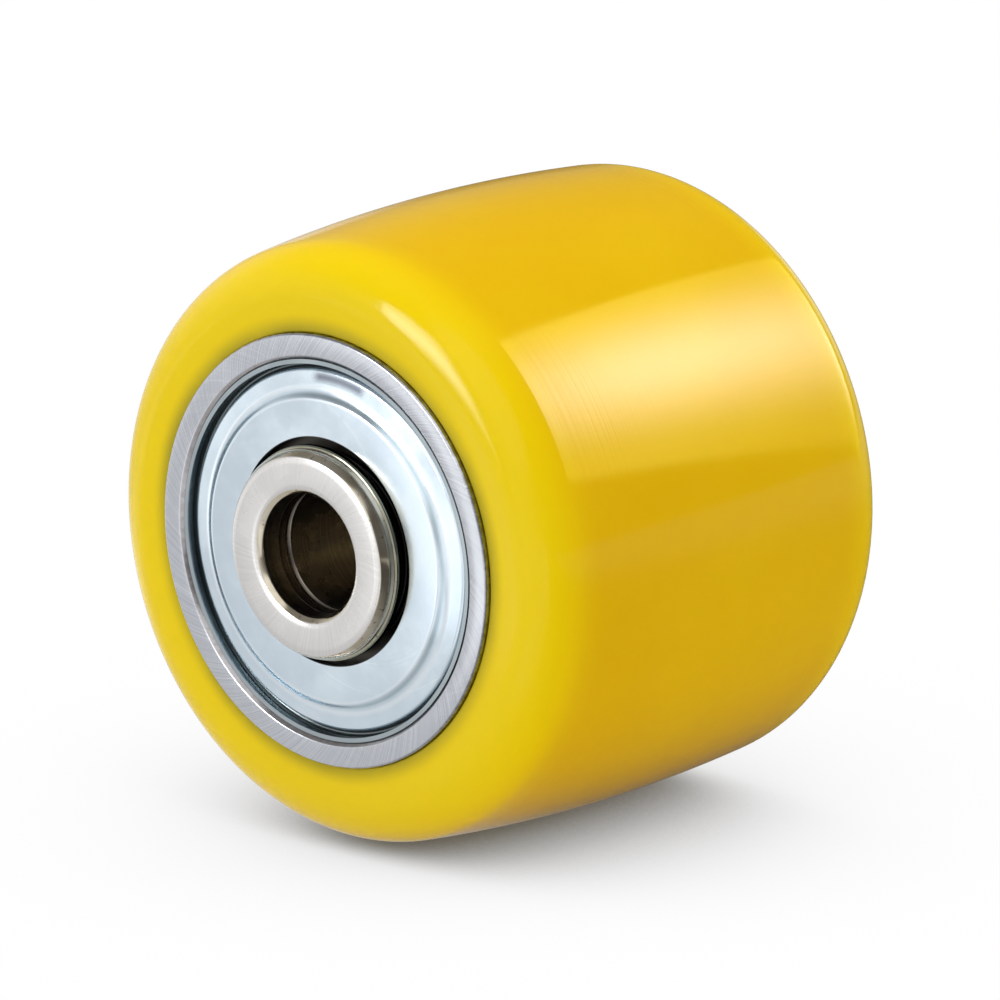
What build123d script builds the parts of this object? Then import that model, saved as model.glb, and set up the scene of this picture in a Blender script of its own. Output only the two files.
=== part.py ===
from build123d import *
from math import pi, sin
import os

# Load wheel: a cast polyurethane tread on a turned steel hub that runs on two ball bearings.
# The wheel turns about Z, the origin is at its centre and lengths are in millimetres.
# Front pieces are modelled on the +Z side, and each rear twin is a mirror image.

# Tread
tread_thickness = 12.75  # at the middle, which makes the wheel 85 across
tread_recess = 0.75  # from the hub's end face to the end of the tread
tread_crown = 2.05  # fall in radius from the middle of the tread to each end
tread_shoulder_radius = 7.3

# Hub
hub_length = 69.0
hub_rim_width = 3.55  # wall round the cover
hub_edge_chamfer = 0.25
hub_mouth_chamfer = 0.6
bearing_shoulder = 3.5  # radial step that the bearing seats against

# Ball bearings
axle_bore = 17.0
bearing_diameter = 47.0
bearing_width = 14.0
land_offset = 2.75  # from the pitch circle of the balls to each ring's land
ring_corner_chamfer = 0.6
ball_diameter = 8.7
ball_count = 7
race_radius = 4.52
race_clearance = 0.06  # between a ball and the bottom of each race

# Riveted ball cages
cage_thickness = 0.7
cage_width = 3.6  # radial width of the ribbon
pocket_clearance = 0.2
rivet_diameter = 1.6
rivet_head_height = 0.5
rivet_head_gap = 0.3  # from a rivet's head to the pockets beside it
rivet_clearance = 0.05

# Bearing shields
shield_thickness = 0.4
shield_cage_gap = 0.65
shield_land_gap = 0.3
shield_seat_width = 1.5  # radial depth of the rebate that holds the shield's edge
shield_edge_gap = 0.03

# Pressed covers
cover_seat_width = 2.7  # how much further out than the bearing the cover reaches
cover_thickness = 0.6
cover_hole_gap = 0.95  # round the thrust ring
cover_flat_width = 5.2
cover_step = 0.85  # fall from the raised flat to the outer ring
cover_step_width = 1.0
cover_step_radius = 0.9
cover_ring_fall = 0.25  # further fall across the outer ring
cover_shoulder_radius = 0.7
cover_groove_depth = 2.2
cover_groove_width = 0.7
cover_edge_depth = 0.35  # from the hub's end face to the edge of the rim
cover_bearing_gap = 0.1

# Thrust rings
thrust_height = 3.65
thrust_diameter = 29.5
thrust_taper_width = 1.25
thrust_taper_depth = 1.9
thrust_edge_radius = 0.3
thrust_heel_radius = 1.0
thrust_bore_chamfer = 0.85

# Distance rings and spacer tube
distance_ring_wall = 3.75
spacer_wall = 3.5

# Radii, from the axis outwards
bore_radius = axle_bore / 2
bearing_radius = bearing_diameter / 2
pitch_radius = (bore_radius + bearing_radius) / 2
inner_land_radius = pitch_radius - land_offset
outer_land_radius = pitch_radius + land_offset
inner_race_bottom = pitch_radius - ball_diameter / 2 - race_clearance
outer_race_bottom = pitch_radius + ball_diameter / 2 + race_clearance
shield_seat_radius = outer_land_radius + shield_seat_width
thrust_radius = thrust_diameter / 2
hole_radius = thrust_radius + cover_hole_gap
cover_radius = bearing_radius + cover_seat_width
hub_radius = cover_radius + hub_rim_width
tread_radius = hub_radius + tread_thickness

# Heights above the middle of the wheel
hub_face = hub_length / 2
tread_end = hub_face - tread_recess
thrust_face = hub_face + thrust_height
bearing_depth = cover_step + cover_ring_fall + cover_thickness + cover_bearing_gap
bearing_face = hub_face - bearing_depth
bearing_middle = bearing_face - bearing_width / 2
bearing_back = bearing_face - bearing_width
cover_seat = hub_face - cover_groove_depth - cover_thickness

# Cage pockets and the flats between them
pocket_radius = ball_diameter / 2 + pocket_clearance
pocket_wall_radius = pocket_radius + cage_thickness
half_spacing = pitch_radius * sin(pi / ball_count)
rivet_head_radius = half_spacing - pocket_wall_radius - rivet_head_gap
ball_angle = 360 / ball_count
shield_inside = pocket_wall_radius + shield_cage_gap  # from the middle of the bearing
bearing_plane = Plane.XY.offset(bearing_middle)


# Label a finished piece and write it to its own file
def save(piece, name):
    piece.part.label = name
    export_step(piece.part, f"parts/{name}.step")


# Save a piece as the front one, and its mirror image as the rear one
def save_both_ends(piece, name):
    save(piece, f"front_{name}")
    with BuildPart() as rear:
        mirror(piece.part, about=Plane.XY)
    save(rear, f"rear_{name}")


os.makedirs("parts", exist_ok=True)

# Tread: one barrel-shaped tyre, crowned along its length and bonded to the hub
with BuildPart() as tread:
    with BuildSketch(Plane.XZ):
        with BuildLine():
            end_radius = tread_radius - tread_crown
            crown = ThreePointArc((end_radius, -tread_end), (tread_radius, 0), (end_radius, tread_end))
            Polyline(crown @ 1, (hub_radius, tread_end), (hub_radius, -tread_end), crown @ 0)
        make_face()
        fillet(vertices().group_by(Axis.X)[-1], radius=tread_shoulder_radius)
    revolve(axis=Axis.Z)
save(tread, "tread")

# Hub: a tube with, at each mouth, a seat for the bearing and a wider one for the cover
with BuildPart() as hub:
    with BuildSketch(Plane.XZ):
        with BuildLine():
            Polyline(
                (bearing_radius - bearing_shoulder, 0),
                (bearing_radius - bearing_shoulder, bearing_back),
                (bearing_radius, bearing_back),
                (bearing_radius, cover_seat),
                (cover_radius, cover_seat),
                (cover_radius, hub_face),
                (hub_radius, hub_face),
                (hub_radius, 0),
                close=True,
            )
        make_face()
        chamfer(vertices().group_by(Axis.Y)[-1].sort_by(Axis.X)[-1], length=hub_edge_chamfer)
        chamfer(vertices().group_by(Axis.Y)[-1].sort_by(Axis.X)[0], length=hub_mouth_chamfer)
    revolve(axis=Axis.Z)
    mirror(about=Plane.XY)
save(hub, "hub")

# Cover: a pressed disc whose hole clears the thrust ring. Its raised flat steps down to an
# outer ring, and the narrow groove round that turns up into a rim against the hub's wall.
with BuildPart() as cover:
    with BuildSketch(Plane.XZ):
        with BuildLine():
            rim_inside = cover_radius - cover_thickness
            groove_inside = rim_inside - cover_groove_width
            groove_round = cover_groove_width / 2
            groove_turn = hub_face - cover_groove_depth + groove_round
            flat_end = hole_radius + cover_flat_width
            pressing = FilletPolyline(
                (hole_radius, hub_face),
                (flat_end, hub_face),
                (flat_end + cover_step_width, hub_face - cover_step),
                (groove_inside, hub_face - cover_step - cover_ring_fall),
                (groove_inside, groove_turn),
                radius=[cover_step_radius, cover_step_radius, cover_shoulder_radius],
            )
            groove = RadiusArc(pressing @ 1, (rim_inside, groove_turn), groove_round)
            Line(groove @ 1, (rim_inside, hub_face - cover_edge_depth))
            offset(amount=cover_thickness, side=Side.RIGHT)
        make_face()
    revolve(axis=Axis.Z)
save_both_ends(cover, "cover")

# Thrust ring: turned, with a ground face, a tapered shoulder and a rounded heel
with BuildPart() as thrust_ring:
    with BuildSketch(Plane.XZ):
        with BuildLine():
            Polyline(
                (bore_radius, hub_face),
                (bore_radius, thrust_face - thrust_bore_chamfer),
                (bore_radius + thrust_bore_chamfer, thrust_face),
                (thrust_radius - thrust_taper_width, thrust_face),
                (thrust_radius, thrust_face - thrust_taper_depth),
                (thrust_radius, hub_face),
                close=True,
            )
        make_face()
        fillet(vertices().group_by(Axis.Y)[-1].sort_by(Axis.X)[-1], radius=thrust_edge_radius)
        fillet(vertices().group_by(Axis.Y)[0].sort_by(Axis.X)[-1], radius=thrust_heel_radius)
    revolve(axis=Axis.Z)
save_both_ends(thrust_ring, "thrust_ring")

# Distance ring: fills the stack between the thrust ring and the bearing's inner ring
with BuildPart() as distance_ring:
    with BuildSketch(Plane.XY.offset(bearing_face)):
        Circle(bore_radius + distance_ring_wall)
        Circle(bore_radius, mode=Mode.SUBTRACT)
    extrude(amount=bearing_depth)
save_both_ends(distance_ring, "distance_ring")

# Spacer tube: holds the two inner rings apart
with BuildPart() as spacer_tube:
    Cylinder(radius=bore_radius + spacer_wall, height=2 * bearing_back)
    Hole(radius=bore_radius)
save(spacer_tube, "spacer_tube")

# Inner ring: the race groove runs round the middle of its outer land
with BuildPart() as inner_ring:
    with BuildSketch(Plane.XZ):
        with Locations(((bore_radius + inner_land_radius) / 2, bearing_middle)):
            Rectangle(inner_land_radius - bore_radius, bearing_width)
        chamfer(vertices().group_by(Axis.X)[0], length=ring_corner_chamfer)
        with Locations((inner_race_bottom + race_radius, bearing_middle)):
            Circle(race_radius, mode=Mode.SUBTRACT)
    revolve(axis=Axis.Z)
save_both_ends(inner_ring, "inner_ring")

# Outer ring: its land has the race groove and, at each end, a rebate for a shield
with BuildPart() as outer_ring:
    with BuildSketch(Plane.XZ):
        with Locations(((outer_land_radius + bearing_radius) / 2, bearing_middle)):
            Rectangle(bearing_radius - outer_land_radius, bearing_width)
        chamfer(vertices().group_by(Axis.X)[-1], length=ring_corner_chamfer)
        with Locations((outer_race_bottom - race_radius, bearing_middle)):
            Circle(race_radius, mode=Mode.SUBTRACT)
        rebate_depth = bearing_width / 2 - shield_inside
        rebate_middle = outer_land_radius + shield_seat_width / 2
        with Locations(
            (rebate_middle, bearing_face - rebate_depth / 2),
            (rebate_middle, bearing_back + rebate_depth / 2),
        ):
            Rectangle(shield_seat_width, rebate_depth, mode=Mode.SUBTRACT)
    revolve(axis=Axis.Z)
save_both_ends(outer_ring, "outer_ring")

# Shields: thin washers seated in the outer ring's rebates, one on each side of the balls
for shield_name, shield_height in (
    ("outer_shield", bearing_middle + shield_inside),
    ("inner_shield", bearing_middle - shield_inside - shield_thickness),
):
    with BuildPart() as shield:
        with BuildSketch(Plane.XY.offset(shield_height)):
            Circle(shield_seat_radius - shield_edge_gap)
            Circle(inner_land_radius + shield_land_gap, mode=Mode.SUBTRACT)
        extrude(amount=shield_thickness)
    save_both_ends(shield, shield_name)

# Balls, evenly spaced on the pitch circle
for number in range(ball_count):
    with BuildPart(bearing_plane) as ball:
        with PolarLocations(pitch_radius, 1, start_angle=number * ball_angle):
            Sphere(radius=ball_diameter / 2)
    save_both_ends(ball, f"ball_{number + 1}")

# Cage: two ribbons that meet at the middle of the balls, each arched over every ball
with BuildPart(bearing_plane) as outer_cage_half:
    with BuildSketch(bearing_plane) as ribbon:
        Circle(pitch_radius + cage_width / 2)
        Circle(pitch_radius - cage_width / 2, mode=Mode.SUBTRACT)
    extrude(amount=cage_thickness)
    for arch_radius, mode in ((pocket_wall_radius, Mode.ADD), (pocket_radius, Mode.SUBTRACT)):
        with PolarLocations(pitch_radius, ball_count):
            Cylinder(arch_radius, 2 * cage_width, rotation=(0, 90, 0), mode=mode)
    extrude(ribbon.sketch, amount=2 * pocket_wall_radius, mode=Mode.INTERSECT)
    with PolarLocations(pitch_radius, ball_count, start_angle=ball_angle / 2):
        Hole(rivet_diameter / 2 + rivet_clearance)
save_both_ends(outer_cage_half, "outer_cage_half")

with BuildPart() as inner_cage_half:
    mirror(outer_cage_half.part, about=bearing_plane)
save_both_ends(inner_cage_half, "inner_cage_half")

# Rivets: one through each flat between two pockets, with a head on either side
with BuildPart(bearing_plane) as cage_rivets:
    with PolarLocations(pitch_radius, ball_count, start_angle=ball_angle / 2):
        Cylinder(rivet_diameter / 2, 2 * cage_thickness)
        head_middle = cage_thickness + rivet_head_height / 2
        with Locations((0, 0, head_middle), (0, 0, -head_middle)):
            Cylinder(rivet_head_radius, rivet_head_height)
save_both_ends(cage_rivets, "cage_rivets")
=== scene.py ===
import math

import bpy
from mathutils import Matrix, Vector


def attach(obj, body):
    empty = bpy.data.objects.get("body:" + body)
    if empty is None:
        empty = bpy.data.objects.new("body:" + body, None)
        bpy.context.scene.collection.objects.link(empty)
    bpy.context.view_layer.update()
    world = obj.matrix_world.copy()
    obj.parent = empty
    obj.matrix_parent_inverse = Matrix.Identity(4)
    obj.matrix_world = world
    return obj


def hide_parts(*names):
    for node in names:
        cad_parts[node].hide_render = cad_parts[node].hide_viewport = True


# A barrel-crowned load wheel lying on its tread, as it does in the photograph. The wheel's axis is Z,
# and down in the picture is +Y, so the floor is a plane that touches the tread at its +Y side.
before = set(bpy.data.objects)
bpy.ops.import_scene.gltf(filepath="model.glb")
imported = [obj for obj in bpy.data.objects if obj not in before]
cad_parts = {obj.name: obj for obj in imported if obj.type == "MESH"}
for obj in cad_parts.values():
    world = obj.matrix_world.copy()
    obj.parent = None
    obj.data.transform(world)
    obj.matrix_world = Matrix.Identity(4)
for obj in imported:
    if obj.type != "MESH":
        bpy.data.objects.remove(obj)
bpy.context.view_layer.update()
bpy.ops.object.select_all(action="DESELECT")
mm = 0.001
white = (1, 1, 1, 1)
upwards = (0, -1, 0)

lathe = {"sides": 256, "smoothAngle": 32.0, "mergeGap": 0.001}  # mergeGap is in mm


def rounded(corners, arcStep):
    # corners are (radius, height, rounding) in mm, in order round the section; a rounding of 0 stays
    # sharp, and arcStep is the most degrees between two points of a rounding
    points = []
    for i, (r, z, rounding) in enumerate(corners):
        corner = Vector((r, z))
        if not rounding:
            points.append((r, z))
            continue
        before = (Vector(corners[i - 1][:2]) - corner).normalized()
        after = (Vector(corners[(i + 1) % len(corners)][:2]) - corner).normalized()
        half = before.angle(after) / 2
        setback = rounding / math.tan(half)
        middle = corner + (before + after).normalized() * (rounding / math.sin(half))
        start = corner + before * setback - middle
        sweep = start.angle_signed(corner + after * setback - middle)
        count = max(2, math.ceil(abs(sweep) / math.radians(arcStep)))
        for n in range(count + 1):
            spoke = Matrix.Rotation(-sweep * n / count, 2) @ start
            points.append(tuple(middle + spoke))
    return points


def arc(middle, radius, first, last, count):
    # points about a middle, from the first angle to the last, in radians from straight outwards
    angles = [first + (last - first) * n / count for n in range(count + 1)]
    return [(middle[0] + radius * math.cos(a), middle[1] + radius * math.sin(a)) for a in angles]


def turnPiece(name, section):
    # one ring of edges is drawn out, scaled and moved along the section, and meets itself at the end
    bpy.ops.object.select_all(action="DESELECT")
    radius, height = section[0]
    bpy.ops.mesh.primitive_circle_add(
        vertices=lathe["sides"], radius=radius * mm, location=(0, 0, height * mm)
    )
    piece = bpy.context.object
    piece.name = name
    piece.data.name = name
    bpy.ops.object.transform_apply(location=True, rotation=True, scale=True)
    bpy.ops.object.mode_set(mode="EDIT")
    bpy.ops.mesh.select_all(action="SELECT")
    for nextRadius, nextHeight in section[1:] + section[:1]:
        bpy.ops.mesh.extrude_edges_indiv()
        grown = nextRadius / radius
        bpy.ops.transform.resize(value=(grown, grown, 1), center_override=(0, 0, 0))
        bpy.ops.transform.translate(value=(0, 0, (nextHeight - height) * mm))
        radius, height = nextRadius, nextHeight
    bpy.ops.mesh.select_all(action="SELECT")
    bpy.ops.mesh.remove_doubles(threshold=lathe["mergeGap"] * mm)
    bpy.ops.mesh.normals_make_consistent(inside=False)
    bpy.ops.object.mode_set(mode="OBJECT")
    bpy.ops.object.shade_smooth_by_angle(angle=math.radians(lathe["smoothAngle"]))
    return piece


def turnAround(piece, name):
    # the same piece for the other end, with its own mesh
    bpy.ops.object.select_all(action="DESELECT")
    piece.select_set(True)
    bpy.context.view_layer.objects.active = piece
    bpy.ops.object.duplicate(linked=False)
    twin = bpy.context.object
    twin.name = name
    twin.data.name = name
    twin.rotation_euler = (math.pi, 0, 0)
    bpy.ops.object.transform_apply(location=True, rotation=True, scale=True)
    return twin


def dress(piece, body, slotName, material, *nodes):
    piece.data.materials.clear()
    piece.data.materials.append(material)
    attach(piece, body)
    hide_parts(*nodes)


class Wire:
    # one output of a material's node, with maths done on it as on a number
    def __init__(self, tree, socket):
        self.tree = tree
        self.socket = socket

    def node(self, kind, settings=None, output=0, **inputs):
        # an input goes by its label, with _ for a space, or by its number, as in at0
        made = self.tree.nodes.new("ShaderNode" + kind)
        for name, value in (settings or {}).items():
            setattr(made, name, value)
        for name, value in inputs.items():
            label = int(name[2:]) if name.startswith("at") else name.replace("_", " ")
            socket = made.inputs[label]
            if isinstance(value, Wire):
                self.tree.links.new(value.socket, socket)
            else:
                socket.default_value = value
        return Wire(self.tree, made.outputs[output])

    def maths(self, operation, *values):
        inputs = {f"at{i}": value for i, value in enumerate(values)}
        return self.node("Math", {"operation": operation}, **inputs)

    def __add__(self, other):
        return self.maths("ADD", self, other)

    def __radd__(self, other):
        return self.maths("ADD", other, self)

    def __sub__(self, other):
        return self.maths("SUBTRACT", self, other)

    def __rsub__(self, other):
        return self.maths("SUBTRACT", other, self)

    def __mul__(self, other):
        return self.maths("MULTIPLY", self, other)

    def __rmul__(self, other):
        return self.maths("MULTIPLY", other, self)

    def __truediv__(self, other):
        return self.maths("DIVIDE", self, other)

    def __pow__(self, other):
        return self.maths("POWER", self, other)

    def __abs__(self):
        return self.maths("ABSOLUTE", self)


def colour(red, green, blue):
    # a colour as the eye reads it on screen, 0 to 255, turned into light
    def light(value):
        value = value / 255
        return value / 12.92 if value <= 0.04045 else ((value + 0.055) / 1.055) ** 2.4

    return (light(red), light(green), light(blue), 1.0)


def newFinish(name, **constants):
    material = bpy.data.materials.new(name)
    material.use_nodes = True
    tree = material.node_tree
    shader = tree.nodes["Principled BSDF"]
    for label, value in constants.items():
        shader.inputs[label.replace("_", " ")].default_value = value
    place = Wire(tree, None).node("TexCoord", output="Object")
    return material, shader, place


def feed(shader, label, wire):
    wire.tree.links.new(wire.socket, shader.inputs[label])


def smooth(wire, low, high, toLow=0.0, toHigh=1.0):
    settings = {"interpolation_type": "SMOOTHSTEP"}
    return wire.node(
        "MapRange", settings, Value=wire, From_Min=low, From_Max=high, To_Min=toLow, To_Max=toHigh
    )


def falling(wire, low, high):
    # 1 up to low, and 0 from high on
    return smooth(wire, low, high, 1.0, 0.0)


def band(wire, low, middle, high):
    # rises from 0 to 1 at the middle and falls to 0 again
    return smooth(wire, low, middle) * falling(wire, middle, high)


def along(place, direction):
    # how far the place lies along a direction
    settings = {"operation": "DOT_PRODUCT"}
    return place.node("VectorMath", settings, output="Value", at0=place, at1=direction)


def blendColour(factor, first, second):
    return factor.node("Mix", {"data_type": "RGBA"}, output=2, at0=factor, at6=first, at7=second)


def onAxis(place):
    # distance from the wheel's axis and height along it, in millimetres
    x = place.node("SeparateXYZ", output="X", Vector=place)
    y = Wire(place.tree, x.socket.node.outputs["Y"])
    z = Wire(place.tree, x.socket.node.outputs["Z"])
    radius = (x * x + y * y) ** 0.5
    return radius * 1000, z * 1000


def roundFrom(place, fine, slant):
    # a direction round the axis, times fine, so that a noise on it makes spokes and has no seam;
    # slant is how far they turn, in radians per millimetre of radius
    flat = place.node("VectorMath", {"operation": "MULTIPLY"}, at0=place, at1=(1, 1, 0))
    angle = onAxis(place)[0] * slant
    slanted = place.node("VectorRotate", {"rotation_type": "Z_AXIS"}, Vector=flat, Angle=angle)
    spoke = place.node("VectorMath", {"operation": "NORMALIZE"}, at0=slanted)
    return place.node("VectorMath", {"operation": "SCALE"}, at0=spoke, Scale=fine)


def noise(place, scale, detail, roughness):
    return place.node("TexNoise", Vector=place, Scale=scale, Detail=detail, Roughness=roughness)


def turned(place, fine, seedHeight=0.0):
    # lines left by a lathe tool: a noise that varies with radius and height only
    radius, height = onAxis(place)
    line = place.node("CombineXYZ", X=radius, Y=height, Z=seedHeight)
    return noise(line, fine, 2.0, 0.6)


def bumped(shader, wire, relief, strength):
    # relief is its real height in metres
    feed(shader, "Normal", wire.node("Bump", Height=wire, Distance=relief, Strength=strength))


print("lathe and finishes ready")

# sizes, radii and heights are in mm; a finish's radii and heights are where its tone begins and ends
tread = {
    "radius": 42.5,
    "crown": 2.05,
    "end": 33.75,
    "bore": 29.75,
    "shoulder": 7.3,
    "lip": 0.35,
    "crownRings": 36,
    "shoulderRings": 18,
    "lipRings": 6,
    "gold": colour(237, 187, 0),
    "goldLight": colour(240, 192, 0),
    "lemon": colour(254, 220, 0),
    "lemonHeights": (23.0, 34.0),
    "rim": colour(150, 142, 40),
    "rimRadii": (29.7, 32.6),
    "rimHeights": (31.0, 33.0),
    "flash": colour(116, 92, 22),
    "flashRadii": (29.8, 30.0),
    "roughness": 0.07,
    "relief": 0.00005,
}


def treadSection():
    # the crown is one long arc; the shoulder's arc touches both it and the flat end
    end = tread["end"]
    shoulder = tread["shoulder"]
    lip = tread["lip"]
    crownRadius = (end**2 + tread["crown"] ** 2) / (2 * tread["crown"])
    crownMiddle = tread["radius"] - crownRadius
    shoulderHeight = end - shoulder
    shoulderMiddle = crownMiddle + math.sqrt((crownRadius - shoulder) ** 2 - shoulderHeight**2)
    lean = math.atan2(shoulderHeight, shoulderMiddle - crownMiddle)
    square = math.pi / 2
    upper = arc((crownMiddle, 0), crownRadius, 0, lean, tread["crownRings"])
    upper += arc((shoulderMiddle, shoulderHeight), shoulder, lean, square, tread["shoulderRings"])[1:]
    upper += arc((tread["bore"] + lip, end - lip), lip, square, math.pi, tread["lipRings"])
    lower = [(r, -z) for r, z in reversed(upper)]
    return upper + lower[:-1]


def castPolyurethane():
    material, shader, place = newFinish(
        "castPolyurethane",
        IOR=1.5,
        Specular_IOR_Level=0.2,
        Subsurface_Weight=0.12,
        Subsurface_Radius=(1.0, 0.55, 0.1),
        Subsurface_Scale=0.004,
    )
    radius, height = onAxis(place)
    away = abs(height)
    mottle = noise(place, 28.0, 4.0, 0.55)
    body = blendColour(smooth(mottle, 0.35, 0.65), tread["gold"], tread["goldLight"])
    body = blendColour(smooth(away, *tread["lemonHeights"]), body, tread["lemon"])
    rim = falling(radius, *tread["rimRadii"]) * smooth(away, *tread["rimHeights"])
    body = blendColour(rim * (0.4 + smooth(mottle, 0.3, 0.7) * 0.4), body, tread["rim"])
    flash = falling(radius, *tread["flashRadii"]) * smooth(noise(place, 350.0, 4.0, 0.6), 0.4, 0.6)
    body = blendColour(flash * 0.45, body, tread["flash"])
    feed(shader, "Base Color", body)
    lines = turned(place, 1.6)
    fine = turned(place, 5.0, 7.0)
    haze = noise(place, 60.0, 3.0, 0.6)
    rough = tread["roughness"] + smooth(lines, 0.3, 0.7) * 0.03 + smooth(haze, 0.4, 0.7) * 0.03
    feed(shader, "Roughness", rough)
    bumped(shader, lines * 0.7 + fine * 0.15 + haze * 0.15, tread["relief"], 0.6)
    return material


treadPiece = turnPiece("cast_tread", treadSection())
dress(treadPiece, "wheel", "polyurethane", castPolyurethane(), "tread")
print("tread made")

hub = {
    "radius": 29.75,
    "face": 34.5,
    "coverSeat": 26.2,
    "coverSeatEnd": 31.7,
    "bearingSeat": 23.5,
    "bearingSeatEnd": 18.7,
    "waist": 20.0,
    "edge": 0.25,
    "mouth": 0.6,
    "waistRound": 0.4,
    "seatRound": 0.15,
    "mouthRounds": (0.12, 0.25),
    "edgeRounds": (0.15, 0.05),
    "arcStep": 22.5,
    "steel": colour(187, 190, 197),
    "steelLight": colour(204, 207, 213),
    "scratch": colour(226, 228, 232),
    "mouthGrime": colour(132, 116, 104),
    "mouthRadii": (26.6, 26.85),
    "edgeGrime": colour(104, 96, 76),
    "edgeRadii": (29.45, 29.7),
    "roughness": 0.16,
    "relief": 0.000008,
}


def hubSection():
    edge = hub["edge"]
    mouth = hub["mouth"]
    mouthIn, mouthOut = hub["mouthRounds"]
    faceRound, sideRound = hub["edgeRounds"]
    upper = [
        (hub["waist"], 0, 0),
        (hub["waist"], hub["bearingSeatEnd"], hub["waistRound"]),
        (hub["bearingSeat"], hub["bearingSeatEnd"], 0),
        (hub["bearingSeat"], hub["coverSeatEnd"], hub["seatRound"]),
        (hub["coverSeat"], hub["coverSeatEnd"], 0),
        (hub["coverSeat"], hub["face"] - mouth, mouthIn),
        (hub["coverSeat"] + mouth, hub["face"], mouthOut),
        (hub["radius"] - edge, hub["face"], faceRound),
        (hub["radius"], hub["face"] - edge, sideRound),
        (hub["radius"], 0, 0),
    ]
    lower = [(r, -z, rounding) for r, z, rounding in reversed(upper[1:-1])]
    return rounded(upper + lower, hub["arcStep"])


def turnedHubSteel():
    material, shader, place = newFinish("turnedHubSteel", Metallic=1.0)
    radius = onAxis(place)[0]
    spokes = noise(roundFrom(place, 60.0, 0.03), 3.0, 3.0, 0.6)
    scratch = smooth(noise(roundFrom(place, 150.0, -0.05), 3.0, 2.0, 0.6), 0.6, 0.7)
    lines = turned(place, 5.0)
    blotch = noise(place, 120.0, 3.0, 0.6)
    speck = smooth(noise(place, 900.0, 3.0, 0.6), 0.45, 0.6)
    steel = blendColour(smooth(spokes, 0.35, 0.65), hub["steel"], hub["steelLight"])
    steel = blendColour(scratch * 0.5, steel, hub["scratch"])
    mouth = falling(radius, *hub["mouthRadii"])
    steel = blendColour(mouth * (0.45 + speck * 0.15), steel, hub["mouthGrime"])
    outerEdge = smooth(radius, *hub["edgeRadii"])
    steel = blendColour(outerEdge * (0.15 + speck * 0.35), steel, hub["edgeGrime"])
    feed(shader, "Base Color", steel)
    rough = hub["roughness"] + smooth(blotch, 0.4, 0.7) * 0.06 + smooth(spokes, 0.4, 0.7) * 0.06
    feed(shader, "Roughness", rough)
    bumped(shader, spokes * 0.6 + scratch * 0.2 + lines * 0.2, hub["relief"], 0.8)
    return material


hubPiece = turnPiece("turned_hub", hubSection())
dress(hubPiece, "wheel", "hub_steel", turnedHubSteel(), "hub")
print("hub made")

cover = {
    "hole": 15.7,
    "flatEnd": 20.9,
    "flatHeight": 34.5,
    "stepEnd": 21.9,
    "stepHeight": 33.65,
    "ringEnd": 24.9,
    "ringHeight": 33.4,
    "grooveTurn": 32.65,
    "grooveRound": 0.35,
    "grooveRings": 12,
    "rimInside": 25.6,
    "rimTop": 34.15,
    "sheet": 0.6,
    "stepRound": 0.7,
    "footRound": 2.5,
    "shoulderRound": 0.7,
    "arcStep": 10.0,
    "zinc": colour(208, 222, 233),
    "zincLight": colour(222, 235, 244),
    "scratch": colour(248, 251, 253),
    "foot": colour(126, 160, 168),
    "footShadeRadii": (21.0, 21.4, 21.8),
    "bendHighlight": colour(240, 246, 250),
    "lowerHighlightRadii": (21.8, 22.3, 23.0),
    "upperHighlightRadii": (20.4, 20.8, 21.0),
    "groove": colour(52, 56, 58),
    "grooveRadii": (24.85, 25.0),
    "grooveHeights": (33.0, 33.45),
    "rim": colour(124, 132, 132),
    "rimRadii": (25.1, 25.3),
    "cutShade": colour(50, 46, 38),
    "cutShadeRadii": (15.72, 15.82),
    "scuff": colour(96, 100, 110),
    "scuffPlace": (-0.0019, -0.0239, 0.0335),  # the scuff's place and reach are in metres
    "scuffReach": (0.0036, 0.0054),
    "scuffRadii": (22.8, 23.8, 24.8),
    "roughness": 0.18,
    "relief": 0.000008,
}


def coverSection():
    # the upper skin from the hole outwards, then the lower one back, each point set off by the sheet
    upper = rounded(
        [
            (cover["hole"], cover["flatHeight"], 0),
            (cover["flatEnd"], cover["flatHeight"], cover["stepRound"]),
            (cover["stepEnd"], cover["stepHeight"], cover["footRound"]),
            (cover["ringEnd"], cover["ringHeight"], cover["shoulderRound"]),
            (cover["ringEnd"], cover["grooveTurn"], 0),
        ],
        cover["arcStep"],
    )
    turn = cover["grooveRound"]
    grooveMiddle = (cover["ringEnd"] + turn, cover["grooveTurn"])
    upper += arc(grooveMiddle, turn, math.pi, 2 * math.pi, cover["grooveRings"])[1:]
    upper.append((cover["rimInside"], cover["rimTop"]))
    under = []
    for i, point in enumerate(upper):
        here = Vector(point)
        run = Vector((0.0, 0.0))
        if i:
            run += (here - Vector(upper[i - 1])).normalized()
        if i + 1 < len(upper):
            run += (Vector(upper[i + 1]) - here).normalized()
        run.normalize()
        under.append(tuple(here + Vector((run.y, -run.x)) * cover["sheet"]))
    return upper + under[::-1]


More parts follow.
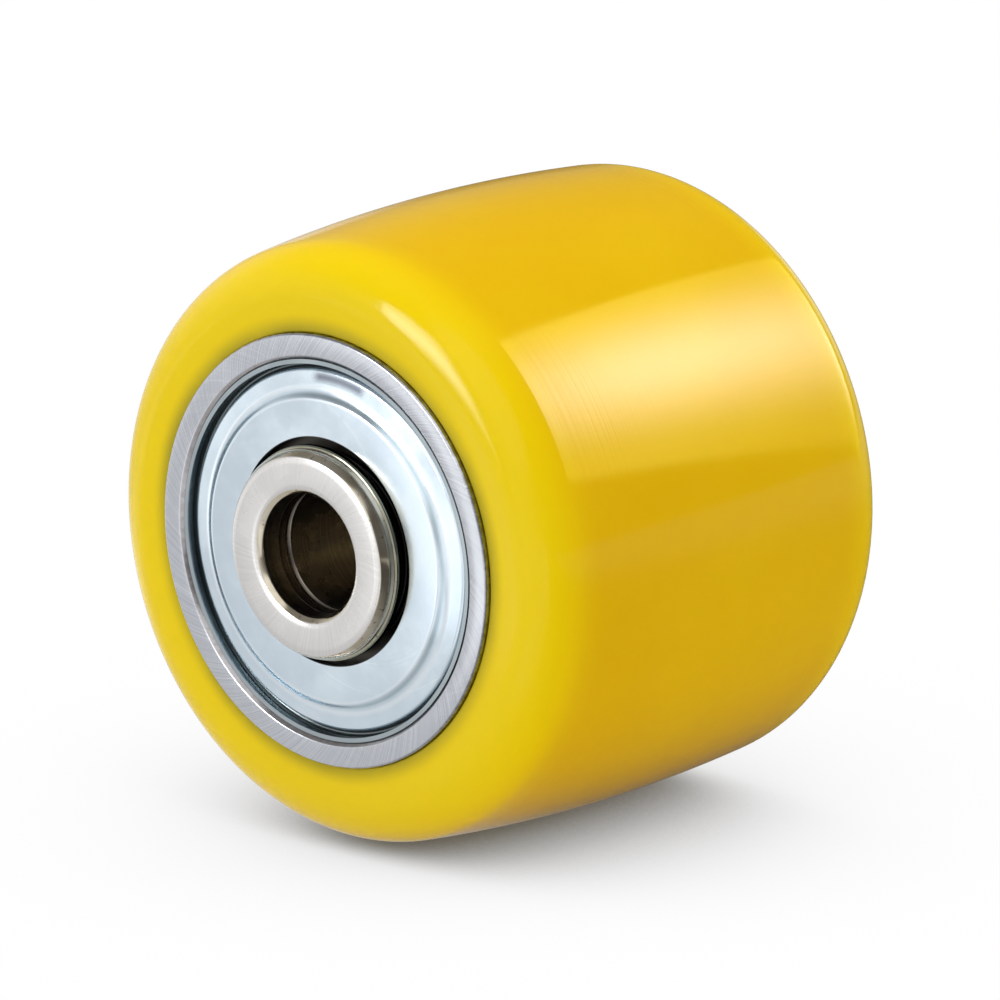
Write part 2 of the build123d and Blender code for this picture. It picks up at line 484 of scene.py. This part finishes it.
def zincPlate():
    material, shader, place = newFinish("zincPlate", Metallic=1.0)
    radius, height = onAxis(place)
    swirl = noise(roundFrom(place, 9.0, 0.09), 6.0, 3.0, 0.6)
    scratch = smooth(noise(roundFrom(place, 40.0, -0.12), 3.0, 2.0, 0.5), 0.62, 0.68)
    cloud = noise(place, 90.0, 4.0, 0.6)
    zinc = blendColour(smooth(cloud, 0.3, 0.7), cover["zinc"], cover["zincLight"])
    zinc = blendColour(scratch * smooth(cloud, 0.4, 0.6) * 0.7, zinc, cover["scratch"])
    # painted shade gives the foot of the step a green-blue shade, and painted highlights brighten the
    # bends beside it
    zinc = blendColour(band(radius, *cover["footShadeRadii"]) * 0.35, zinc, cover["foot"])
    zinc = blendColour(band(radius, *cover["lowerHighlightRadii"]) * 0.5, zinc, cover["bendHighlight"])
    zinc = blendColour(band(radius, *cover["upperHighlightRadii"]) * 0.4, zinc, cover["bendHighlight"])
    # painted shade: the bottom of the groove round the cover is darkened to near black
    groove = smooth(radius, *cover["grooveRadii"]) * falling(abs(height), *cover["grooveHeights"])
    zinc = blendColour(groove * 0.93, zinc, cover["groove"])
    zinc = blendColour(smooth(radius, *cover["rimRadii"]) * 0.6, zinc, cover["rim"])
    # painted shade: the cut edge of the hole is darkened to the black of the gap round the thrust ring
    zinc = blendColour(falling(radius, *cover["cutShadeRadii"]) * 0.9, zinc, cover["cutShade"])
    # one dull scuff on the front cover
    settings = {"operation": "DISTANCE"}
    offset = place.node("VectorMath", settings, output="Value", at0=place, at1=cover["scuffPlace"])
    scuff = falling(offset, *cover["scuffReach"]) * band(radius, *cover["scuffRadii"]) ** 0.5
    zinc = blendColour(scuff * 0.9, zinc, cover["scuff"])
    feed(shader, "Base Color", zinc)
    rough = cover["roughness"] + smooth(cloud, 0.4, 0.7) * 0.08 + smooth(swirl, 0.5, 0.8) * 0.04
    feed(shader, "Roughness", rough + scuff * 0.15)
    bumped(shader, cloud * 0.4 + swirl * 0.5 - scratch * 0.1, cover["relief"], 0.5)
    return material


zincFinish = zincPlate()
frontCover = turnPiece("pressed_cover_front", coverSection())
rearCover = turnAround(frontCover, "pressed_cover_rear")
dress(frontCover, "wheel", "zinc_plate", zincFinish, "front_cover")
dress(rearCover, "wheel", "zinc_plate", zincFinish, "rear_cover")
print("covers made")

thrust = {
    "bore": 8.5,
    "boreChamfer": 0.8,
    "foot": 34.5,
    "face": 38.15,
    "faceEnd": 12.8,
    "brow": 13.65,
    "browHeight": 38.0,
    "noseEnd": 14.4,
    "radius": 14.75,
    "shoulder": 36.9,
    "flange": 35.85,
    "footRounds": (0.1, 0.35),
    "chamferRounds": (0.4, 1.6),
    "faceRound": 1.5,
    "browRound": 0.6,
    "noseRound": 1.2,
    "rootRound": 0.12,
    "flangeRound": 0.3,
    "arcStep": 10.0,
    "ground": colour(210, 208, 206),
    "groundLight": colour(220, 218, 216),
    "groundHeights": (37.88, 37.98),
    "polished": colour(186, 176, 154),
    "polishedLight": colour(210, 202, 186),
    "greenCast": colour(118, 128, 112),
    "castHeights": (35.75, 35.95),
    "gapShade": colour(48, 45, 36),
    "gapShadeHeights": (34.7, 35.5),
    "outerRadii": (12.0, 13.0),
    "worn": colour(136, 130, 122),
    "wornLight": colour(192, 186, 178),
    "boreRadii": (8.52, 8.62),
    "pits": colour(70, 64, 54),
    "roughness": 0.12,
    "relief": 0.000006,
}


def thrustSection():
    boreFoot, outerFoot = thrust["footRounds"]
    chamferIn, chamferOut = thrust["chamferRounds"]
    chamfer = thrust["boreChamfer"]
    return rounded(
        [
            (thrust["bore"], thrust["foot"], boreFoot),
            (thrust["bore"], thrust["face"] - chamfer, chamferIn),
            (thrust["bore"] + chamfer, thrust["face"], chamferOut),
            (thrust["faceEnd"], thrust["face"], thrust["faceRound"]),
            (thrust["brow"], thrust["browHeight"], thrust["browRound"]),
            (thrust["noseEnd"], thrust["shoulder"], thrust["noseRound"]),
            (thrust["noseEnd"], thrust["flange"], thrust["rootRound"]),
            (thrust["radius"], thrust["flange"], thrust["flangeRound"]),
            (thrust["radius"], thrust["foot"], outerFoot),
        ],
        thrust["arcStep"],
    )


def groundThrustSteel():
    material, shader, place = newFinish("groundThrustSteel", Metallic=1.0)
    radius, height = onAxis(place)
    away = abs(height)
    spokes = noise(roundFrom(place, 30.0, 0.02), 3.0, 3.0, 0.6)
    lines = turned(place, 5.0)
    blotch = noise(place, 160.0, 3.0, 0.6)
    pits = smooth(noise(place, 1500.0, 2.0, 0.5), 0.64, 0.7)
    ground = smooth(away, *thrust["groundHeights"])
    inBore = falling(radius, *thrust["boreRadii"])
    face = blendColour(smooth(spokes, 0.3, 0.7), thrust["ground"], thrust["groundLight"])
    polished = blendColour(smooth(blotch, 0.3, 0.7), thrust["polished"], thrust["polishedLight"])
    steel = blendColour(ground, polished, face)
    # the flange has a green cast, and painted shade darkens it where it goes into the cover
    outside = smooth(radius, *thrust["outerRadii"])
    steel = blendColour(falling(away, *thrust["castHeights"]) * outside * 0.75, steel, thrust["greenCast"])
    steel = blendColour(falling(away, *thrust["gapShadeHeights"]) * outside * 0.85, steel, thrust["gapShade"])
    worn = blendColour(smooth(lines, 0.35, 0.65), thrust["worn"], thrust["wornLight"])
    steel = blendColour(inBore * 0.85, steel, worn)
    steel = blendColour(pits * (1 - ground) * 0.6, steel, thrust["pits"])
    feed(shader, "Base Color", steel)
    rough = thrust["roughness"] + ground * 0.13 + inBore * 0.1 + smooth(blotch, 0.4, 0.7) * 0.05
    feed(shader, "Roughness", rough)
    relief = spokes * ground * 0.5 + lines * (1 - ground) * 0.5 - pits * (1 - ground)
    bumped(shader, relief, thrust["relief"], 0.6)
    return material


thrustFinish = groundThrustSteel()
frontThrust = turnPiece("ground_ring_front", thrustSection())
rearThrust = turnAround(frontThrust, "ground_ring_rear")
dress(frontThrust, "axle_set", "ground_steel", thrustFinish, "front_thrust_ring")
dress(rearThrust, "axle_set", "ground_steel", thrustFinish, "rear_thrust_ring")
print("thrust rings made")

bearing = {
    "steel": colour(205, 205, 208),
    "steelDull": colour(188, 184, 178),
    "worn": colour(136, 130, 122),
    "wornLight": colour(192, 184, 174),
    "boreRadii": (9.7, 10.1),
    "chamfer": colour(66, 58, 48),
    "chamferRadii": (8.52, 8.6),
    "holeShade": colour(44, 38, 30),
    "holeShadeHeights": (32.4, 32.6),
    "holeShadeRadii": (16.5, 17.5),
    "roughness": 0.14,
    "relief": 0.000004,
}


def bearingSteel():
    material, shader, place = newFinish("bearingSteel", Metallic=1.0)
    lines = turned(place, 6.0)
    film = noise(place, 140.0, 3.0, 0.6)
    steel = blendColour(smooth(film, 0.35, 0.7), bearing["steel"], bearing["steelDull"])
    radius, height = onAxis(place)
    inBore = falling(radius, *bearing["boreRadii"])
    worn = blendColour(smooth(lines, 0.35, 0.65), bearing["worn"], bearing["wornLight"])
    steel = blendColour(inBore, steel, worn)
    chamfer = inBore * smooth(radius, *bearing["chamferRadii"])
    steel = blendColour(chamfer * 0.8, steel, bearing["chamfer"])
    # painted shade: the inner ring's face, seen through the gap at the cover's hole, is darkened to near
    # black
    holeShade = smooth(abs(height), *bearing["holeShadeHeights"]) * falling(radius, *bearing["holeShadeRadii"])
    feed(shader, "Base Color", blendColour(holeShade * 0.85, steel, bearing["holeShade"]))
    feed(shader, "Roughness", bearing["roughness"] + smooth(film, 0.4, 0.7) * 0.1 + inBore * 0.1)
    bumped(shader, lines, bearing["relief"], 0.4)
    return material


cage = {
    "steel": colour(176, 172, 166),
    "steelLight": colour(196, 194, 190),
    "shieldShade": colour(40, 36, 30),
    "shieldShadeRadii": (16.0, 18.0),
    "shieldShadeHeights": (31.0, 31.5),
    "roughness": 0.3,
    "relief": 0.00001,
}


def pressedCageSteel():
    material, shader, place = newFinish("pressedCageSteel", Metallic=1.0)
    cloud = noise(place, 220.0, 4.0, 0.6)
    steel = blendColour(smooth(cloud, 0.3, 0.7), cage["steel"], cage["steelLight"])
    # painted shade darkens the shield where it shows through the cover's hole
    radius, height = onAxis(place)
    shieldShade = falling(radius, *cage["shieldShadeRadii"]) * smooth(abs(height), *cage["shieldShadeHeights"])
    feed(shader, "Base Color", blendColour(shieldShade * 0.9, steel, cage["shieldShade"]))
    feed(shader, "Roughness", cage["roughness"] + smooth(cloud, 0.35, 0.7) * 0.15)
    bumped(shader, cloud, cage["relief"], 0.5)
    return material


stack = {
    "steel": colour(136, 130, 120),
    "steelLight": colour(194, 184, 170),
    "oil": colour(196, 160, 104),
    "outside": colour(62, 54, 44),
    "outsideRadii": (8.52, 8.6),
    "roughness": 0.22,
    "relief": 0.00001,
}


def greasedStackSteel():
    material, shader, place = newFinish("greasedStackSteel", Metallic=1.0)
    lines = turned(place, 2.2)
    film = noise(place, 90.0, 2.0, 0.5)
    tone = blendColour(smooth(lines, 0.35, 0.65), stack["steel"], stack["steelLight"])
    tone = blendColour(smooth(film, 0.5, 0.7) * 0.2, tone, stack["oil"])
    outside = smooth(onAxis(place)[0], *stack["outsideRadii"]) * 0.75
    feed(shader, "Base Color", blendColour(outside, tone, stack["outside"]))
    feed(shader, "Roughness", stack["roughness"] + smooth(lines, 0.35, 0.7) * 0.16)
    bumped(shader, lines, stack["relief"], 0.6)
    return material


carriedFinishes = [
    (bearingSteel(), ("inner_ring", "outer_ring", "ball_")),
    (pressedCageSteel(), ("cage", "shield")),
    (greasedStackSteel(), ("distance_ring", "spacer_tube")),
]
for finish, words in carriedFinishes:
    for nodeName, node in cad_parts.items():
        if any(word in nodeName for word in words):
            for materialSlot in node.material_slots:
                materialSlot.material = finish
print("bearings and stack finished")

camera = {
    "lens": 1080,
    "sensor": 36,
    "clipEnd": 20,
    "place": (-2.66698, -1.07409, 2.84143),
    "right": (-0.729131, 0.0, -0.684374),
    "up": (0.181811, -0.964067, -0.193701),
}


def turnedTo(x, second):
    # a turn whose X runs along x and whose Y leans as far as it can to second
    x = x.normalized()
    y = (second - x * second.dot(x)).normalized()
    return Matrix((x, y, x.cross(y))).transposed().to_4x4()


def makeCamera():
    data = bpy.data.cameras.new("camera")
    data.lens = camera["lens"]
    data.sensor_width = camera["sensor"]
    data.clip_end = camera["clipEnd"]
    seer = bpy.data.objects.new("camera", data)
    bpy.context.scene.collection.objects.link(seer)
    turn = turnedTo(Vector(camera["right"]), Vector(camera["up"]))
    seer.matrix_world = Matrix.Translation(camera["place"]) @ turn
    bpy.context.scene.camera = seer


def output(tree, kind, wire):
    end = tree.nodes.new(kind)
    tree.links.new(wire.socket, end.inputs["Surface"])


def clearTree(owner):
    owner.use_nodes = True
    owner.node_tree.nodes.clear()
    return Wire(owner.node_tree, None)


def emission(start, tone, strength):
    return start.node("Emission", Color=tone, Strength=strength)


def either(factor, first, second):
    # the first shader where the factor is 0, and the second where it is 1
    return factor.node("MixShader", at0=factor, at1=first, at2=second)


def dimmed(factor, shader):
    # the shader at a share of its strength
    return factor.node("MixShader", at0=factor, at2=shader)


floor = {
    "size": 8.0,
    "plain": (0.9, 0.9, 0.9, 1),
    "deep": (0.13, 0.14, 0.16, 1),
    "shadowReach": 0.16,
    "shadowPower": 2.5,
    "mirrorTop": 1.8,
    "mirrorNear": 0.12,
    "mirrorFar": 0.6,
    "farEdge": (-0.4, -0.12),
    "mirrorBright": 0.66,
    "brightEdge": (-0.02, 0.05),
    "leftWindow": {"bright": 0.6, "across": (-0.22, -0.1, -0.02), "side": (0.05, 0.1)},
    "window": {
        "bright": 0.72,
        "opens": (0.054, 0.074),
        "fades": (0.1, 0.16, 1.0, 0.4),
        "side": (0.09, 0.13),
    },
    "nearWindow": {"bright": 0.45, "across": (0.1, 0.12), "side": (0.0, 0.04, 0.1)},
    "under": 0.5,
    "underAcross": (0.01, 0.03),
    "underAlong": (0.024, 0.034),
}
studio = {
    "soft": 0.6,
    "dark": 0.15,
    "bright": 0.9,
    "brightSide": (0.69, 0.0, 0.72),
    "brightEdge": (-0.2, 0.6),
    "high": 0.25,
    "highEdge": (0.2, 0.65),
    "frontLight": (-0.25, -0.65, 0.72),
    "frontCone": (0.88, 0.95),
    "farGlow": (0.28, 0.05, -0.96),
    "farCone": (0.95, 0.99),
    "farBright": 0.9,
    "top": 1.3,
}


def floorMirror(place):
    # how bright the gloss sees the floor: bright on the metal's side and dim behind, with three windows
    side = along(place, studio["brightSide"])
    across = along(place, (-1, 0, 1))
    left = floor["leftWindow"]
    middle = floor["window"]
    near = floor["nearWindow"]
    level = smooth(side, *floor["farEdge"], floor["mirrorFar"], floor["mirrorNear"])
    level = level + smooth(side, *floor["brightEdge"]) * floor["mirrorBright"]
    level = level + band(across, *left["across"]) * smooth(side, *left["side"]) * left["bright"]
    window = smooth(across, *middle["opens"]) ** 2.0 * smooth(across, *middle["fades"])
    level = level + window * smooth(side, *middle["side"]) * middle["bright"]
    return level + smooth(across, *near["across"]) * band(side, *near["side"]) * near["bright"]


def makeFloor():
    # the plane touches the tread; from below it is clear, so that the wheel can be seen from all round
    bpy.ops.object.select_all(action="DESELECT")
    bpy.ops.mesh.primitive_plane_add(
        size=floor["size"], location=(0, tread["radius"] * mm, 0), rotation=(math.pi / 2, 0, 0)
    )
    plane = bpy.context.object
    plane.name = "floor"
    bpy.ops.object.transform_apply(location=True, rotation=True, scale=True)
    material = bpy.data.materials.new("paleFloor")
    start = clearTree(material)
    place = start.node("TexCoord", output="Object")
    # what the camera sees: white, with a soft shadow round the wheel
    settings = {"samples": 16}
    openness = start.node("AmbientOcclusion", settings, output="AO", Distance=floor["shadowReach"])
    deep = start.node("BsdfDiffuse", Color=floor["deep"])
    seen = either(1 - (1 - openness) ** floor["shadowPower"], deep, emission(start, white, 1.0))
    glow = emission(start, white, floor["mirrorTop"])
    mirrored = dimmed(floorMirror(place) / floor["mirrorTop"], glow)
    # the floor lights the tread from underneath, so that it isn't black when seen from below
    plain = start.node("BsdfDiffuse", Color=floor["plain"])
    under = falling(abs(along(place, (1, 0, 0))), *floor["underAcross"])
    under = under * falling(abs(along(place, (0, 0, 1))), *floor["underAlong"])
    plain = either(under, plain, emission(start, white, floor["under"]))
    inGloss = either(start.node("LightPath", output="Is Glossy Ray"), plain, mirrored)
    above = either(start.node("LightPath", output="Is Camera Ray"), inGloss, seen)
    back = start.node("NewGeometry", output="Backfacing")
    clear = start.node("BsdfTransparent")
    output(start.tree, "ShaderNodeOutputMaterial", either(back, above, clear))
    plane.data.materials.append(material)


def makeCard(name, middle, across, down, edge, heart, fade):
    # a glowing panel that only a gloss sees, edge and heart being a colour and a strength each;
    # fade gives the brightness and how far it is the heart's, from -1 to 1 each way
    across = Vector(across)
    down = Vector(down)
    bpy.ops.object.select_all(action="DESELECT")
    bpy.ops.mesh.primitive_plane_add(size=2)
    card = bpy.context.object
    card.name = name
    size = Matrix.Diagonal((across.length / 2, down.length / 2, 1, 1))
    card.matrix_world = Matrix.Translation(middle) @ turnedTo(across, down) @ size
    material = bpy.data.materials.new(name)
    start = clearTree(material)
    place = start.node("TexCoord", output="Object")
    whole, inner = fade(along(place, (1, 0, 0)), along(place, (0, 1, 0)))
    glow = either(inner, emission(start, *edge), emission(start, *heart))
    output(start.tree, "ShaderNodeOutputMaterial", dimmed(whole, glow))
    card.data.materials.append(material)
    card.visible_camera = False
    card.visible_diffuse = False
    card.visible_transmission = False
    card.visible_shadow = False


def sideFade(x, y):
    brightest = -0.533
    whole = smooth(y, -1.4, brightest) * smooth(y, brightest, 0.25, 1.0, 0.45)
    return whole, 0.04 + band(x, -1.25, -0.1, 1.05) ** 2.0 * 0.96


def stripFade(x, y):
    whole = smooth(y, -1.4, -0.15) * falling(y, 0.0, 0.95) ** 2.0 * smooth(x, -1.0, 0.0)
    return whole, whole


sideCard = {
    "middle": (-0.243, -0.276, -0.479),
    "across": (-0.399, 0.345, 0.0),
    "down": (0.27, 0.312, -0.372),
    "edge": ((1.0, 1.0, 0.12, 1), 5.0),
    "heart": ((1.0, 0.9, 0.72, 1), 19.5),
    "fade": sideFade,
}
stripCard = {
    "middle": (0.2, -0.16, 0.65),
    "across": (0.3, 0.0, -0.1),
    "down": (0.0, 0.56, 0.0),
    "edge": (white, 15.0),
    "heart": (white, 15.0),
    "fade": stripFade,
}
overhead = {"middle": (0.1, -1.2, 0.1), "size": 1.3, "strength": 1.75}


def makeOverhead(middle, size, strength):
    # a square softbox that lights the wheel; strength is its brightness, 1 being white
    data = bpy.data.lights.new("overhead", "AREA")
    data.shape = "SQUARE"
    data.size = size
    data.energy = strength * math.pi * size * size
    lamp = bpy.data.objects.new("overhead", data)
    bpy.context.scene.collection.objects.link(lamp)
    turn = Vector(middle).to_track_quat("Z", "X").to_matrix().to_4x4()
    lamp.matrix_world = Matrix.Translation(middle) @ turn
    lamp.visible_glossy = False


def makeWorld():
    world = bpy.data.worlds.new("studio")
    bpy.context.scene.world = world
    start = clearTree(world)
    direction = start.node("TexCoord", output="Generated")
    soft = start.node("Background", Color=white, Strength=studio["soft"])
    pale = start.node("Background", Color=white, Strength=1.0)
    side = smooth(along(direction, studio["brightSide"]), *studio["brightEdge"])
    high = smooth(along(direction, upwards), *studio["highEdge"], 1.0, studio["high"])
    level = side * high * (studio["bright"] - studio["dark"]) + studio["dark"]
    level = level + smooth(along(direction, studio["frontLight"]), *studio["frontCone"])
    far = smooth(along(direction, studio["farGlow"]), *studio["farCone"])
    level = level + far * studio["farBright"]
    glow = start.node("Background", Color=white, Strength=studio["top"])
    mirrored = dimmed(level / studio["top"], glow)
    unseen = either(start.node("LightPath", output="Is Glossy Ray"), soft, mirrored)
    seen = either(start.node("LightPath", output="Is Camera Ray"), unseen, pale)
    output(start.tree, "ShaderNodeOutputWorld", seen)


makeCamera()
makeFloor()
makeWorld()
makeCard("sideSoftbox", **sideCard)
makeCard("faceStrip", **stripCard)
makeOverhead(**overhead)
bpy.context.scene.view_settings.view_transform = "Standard"
print("floor, light and camera set")
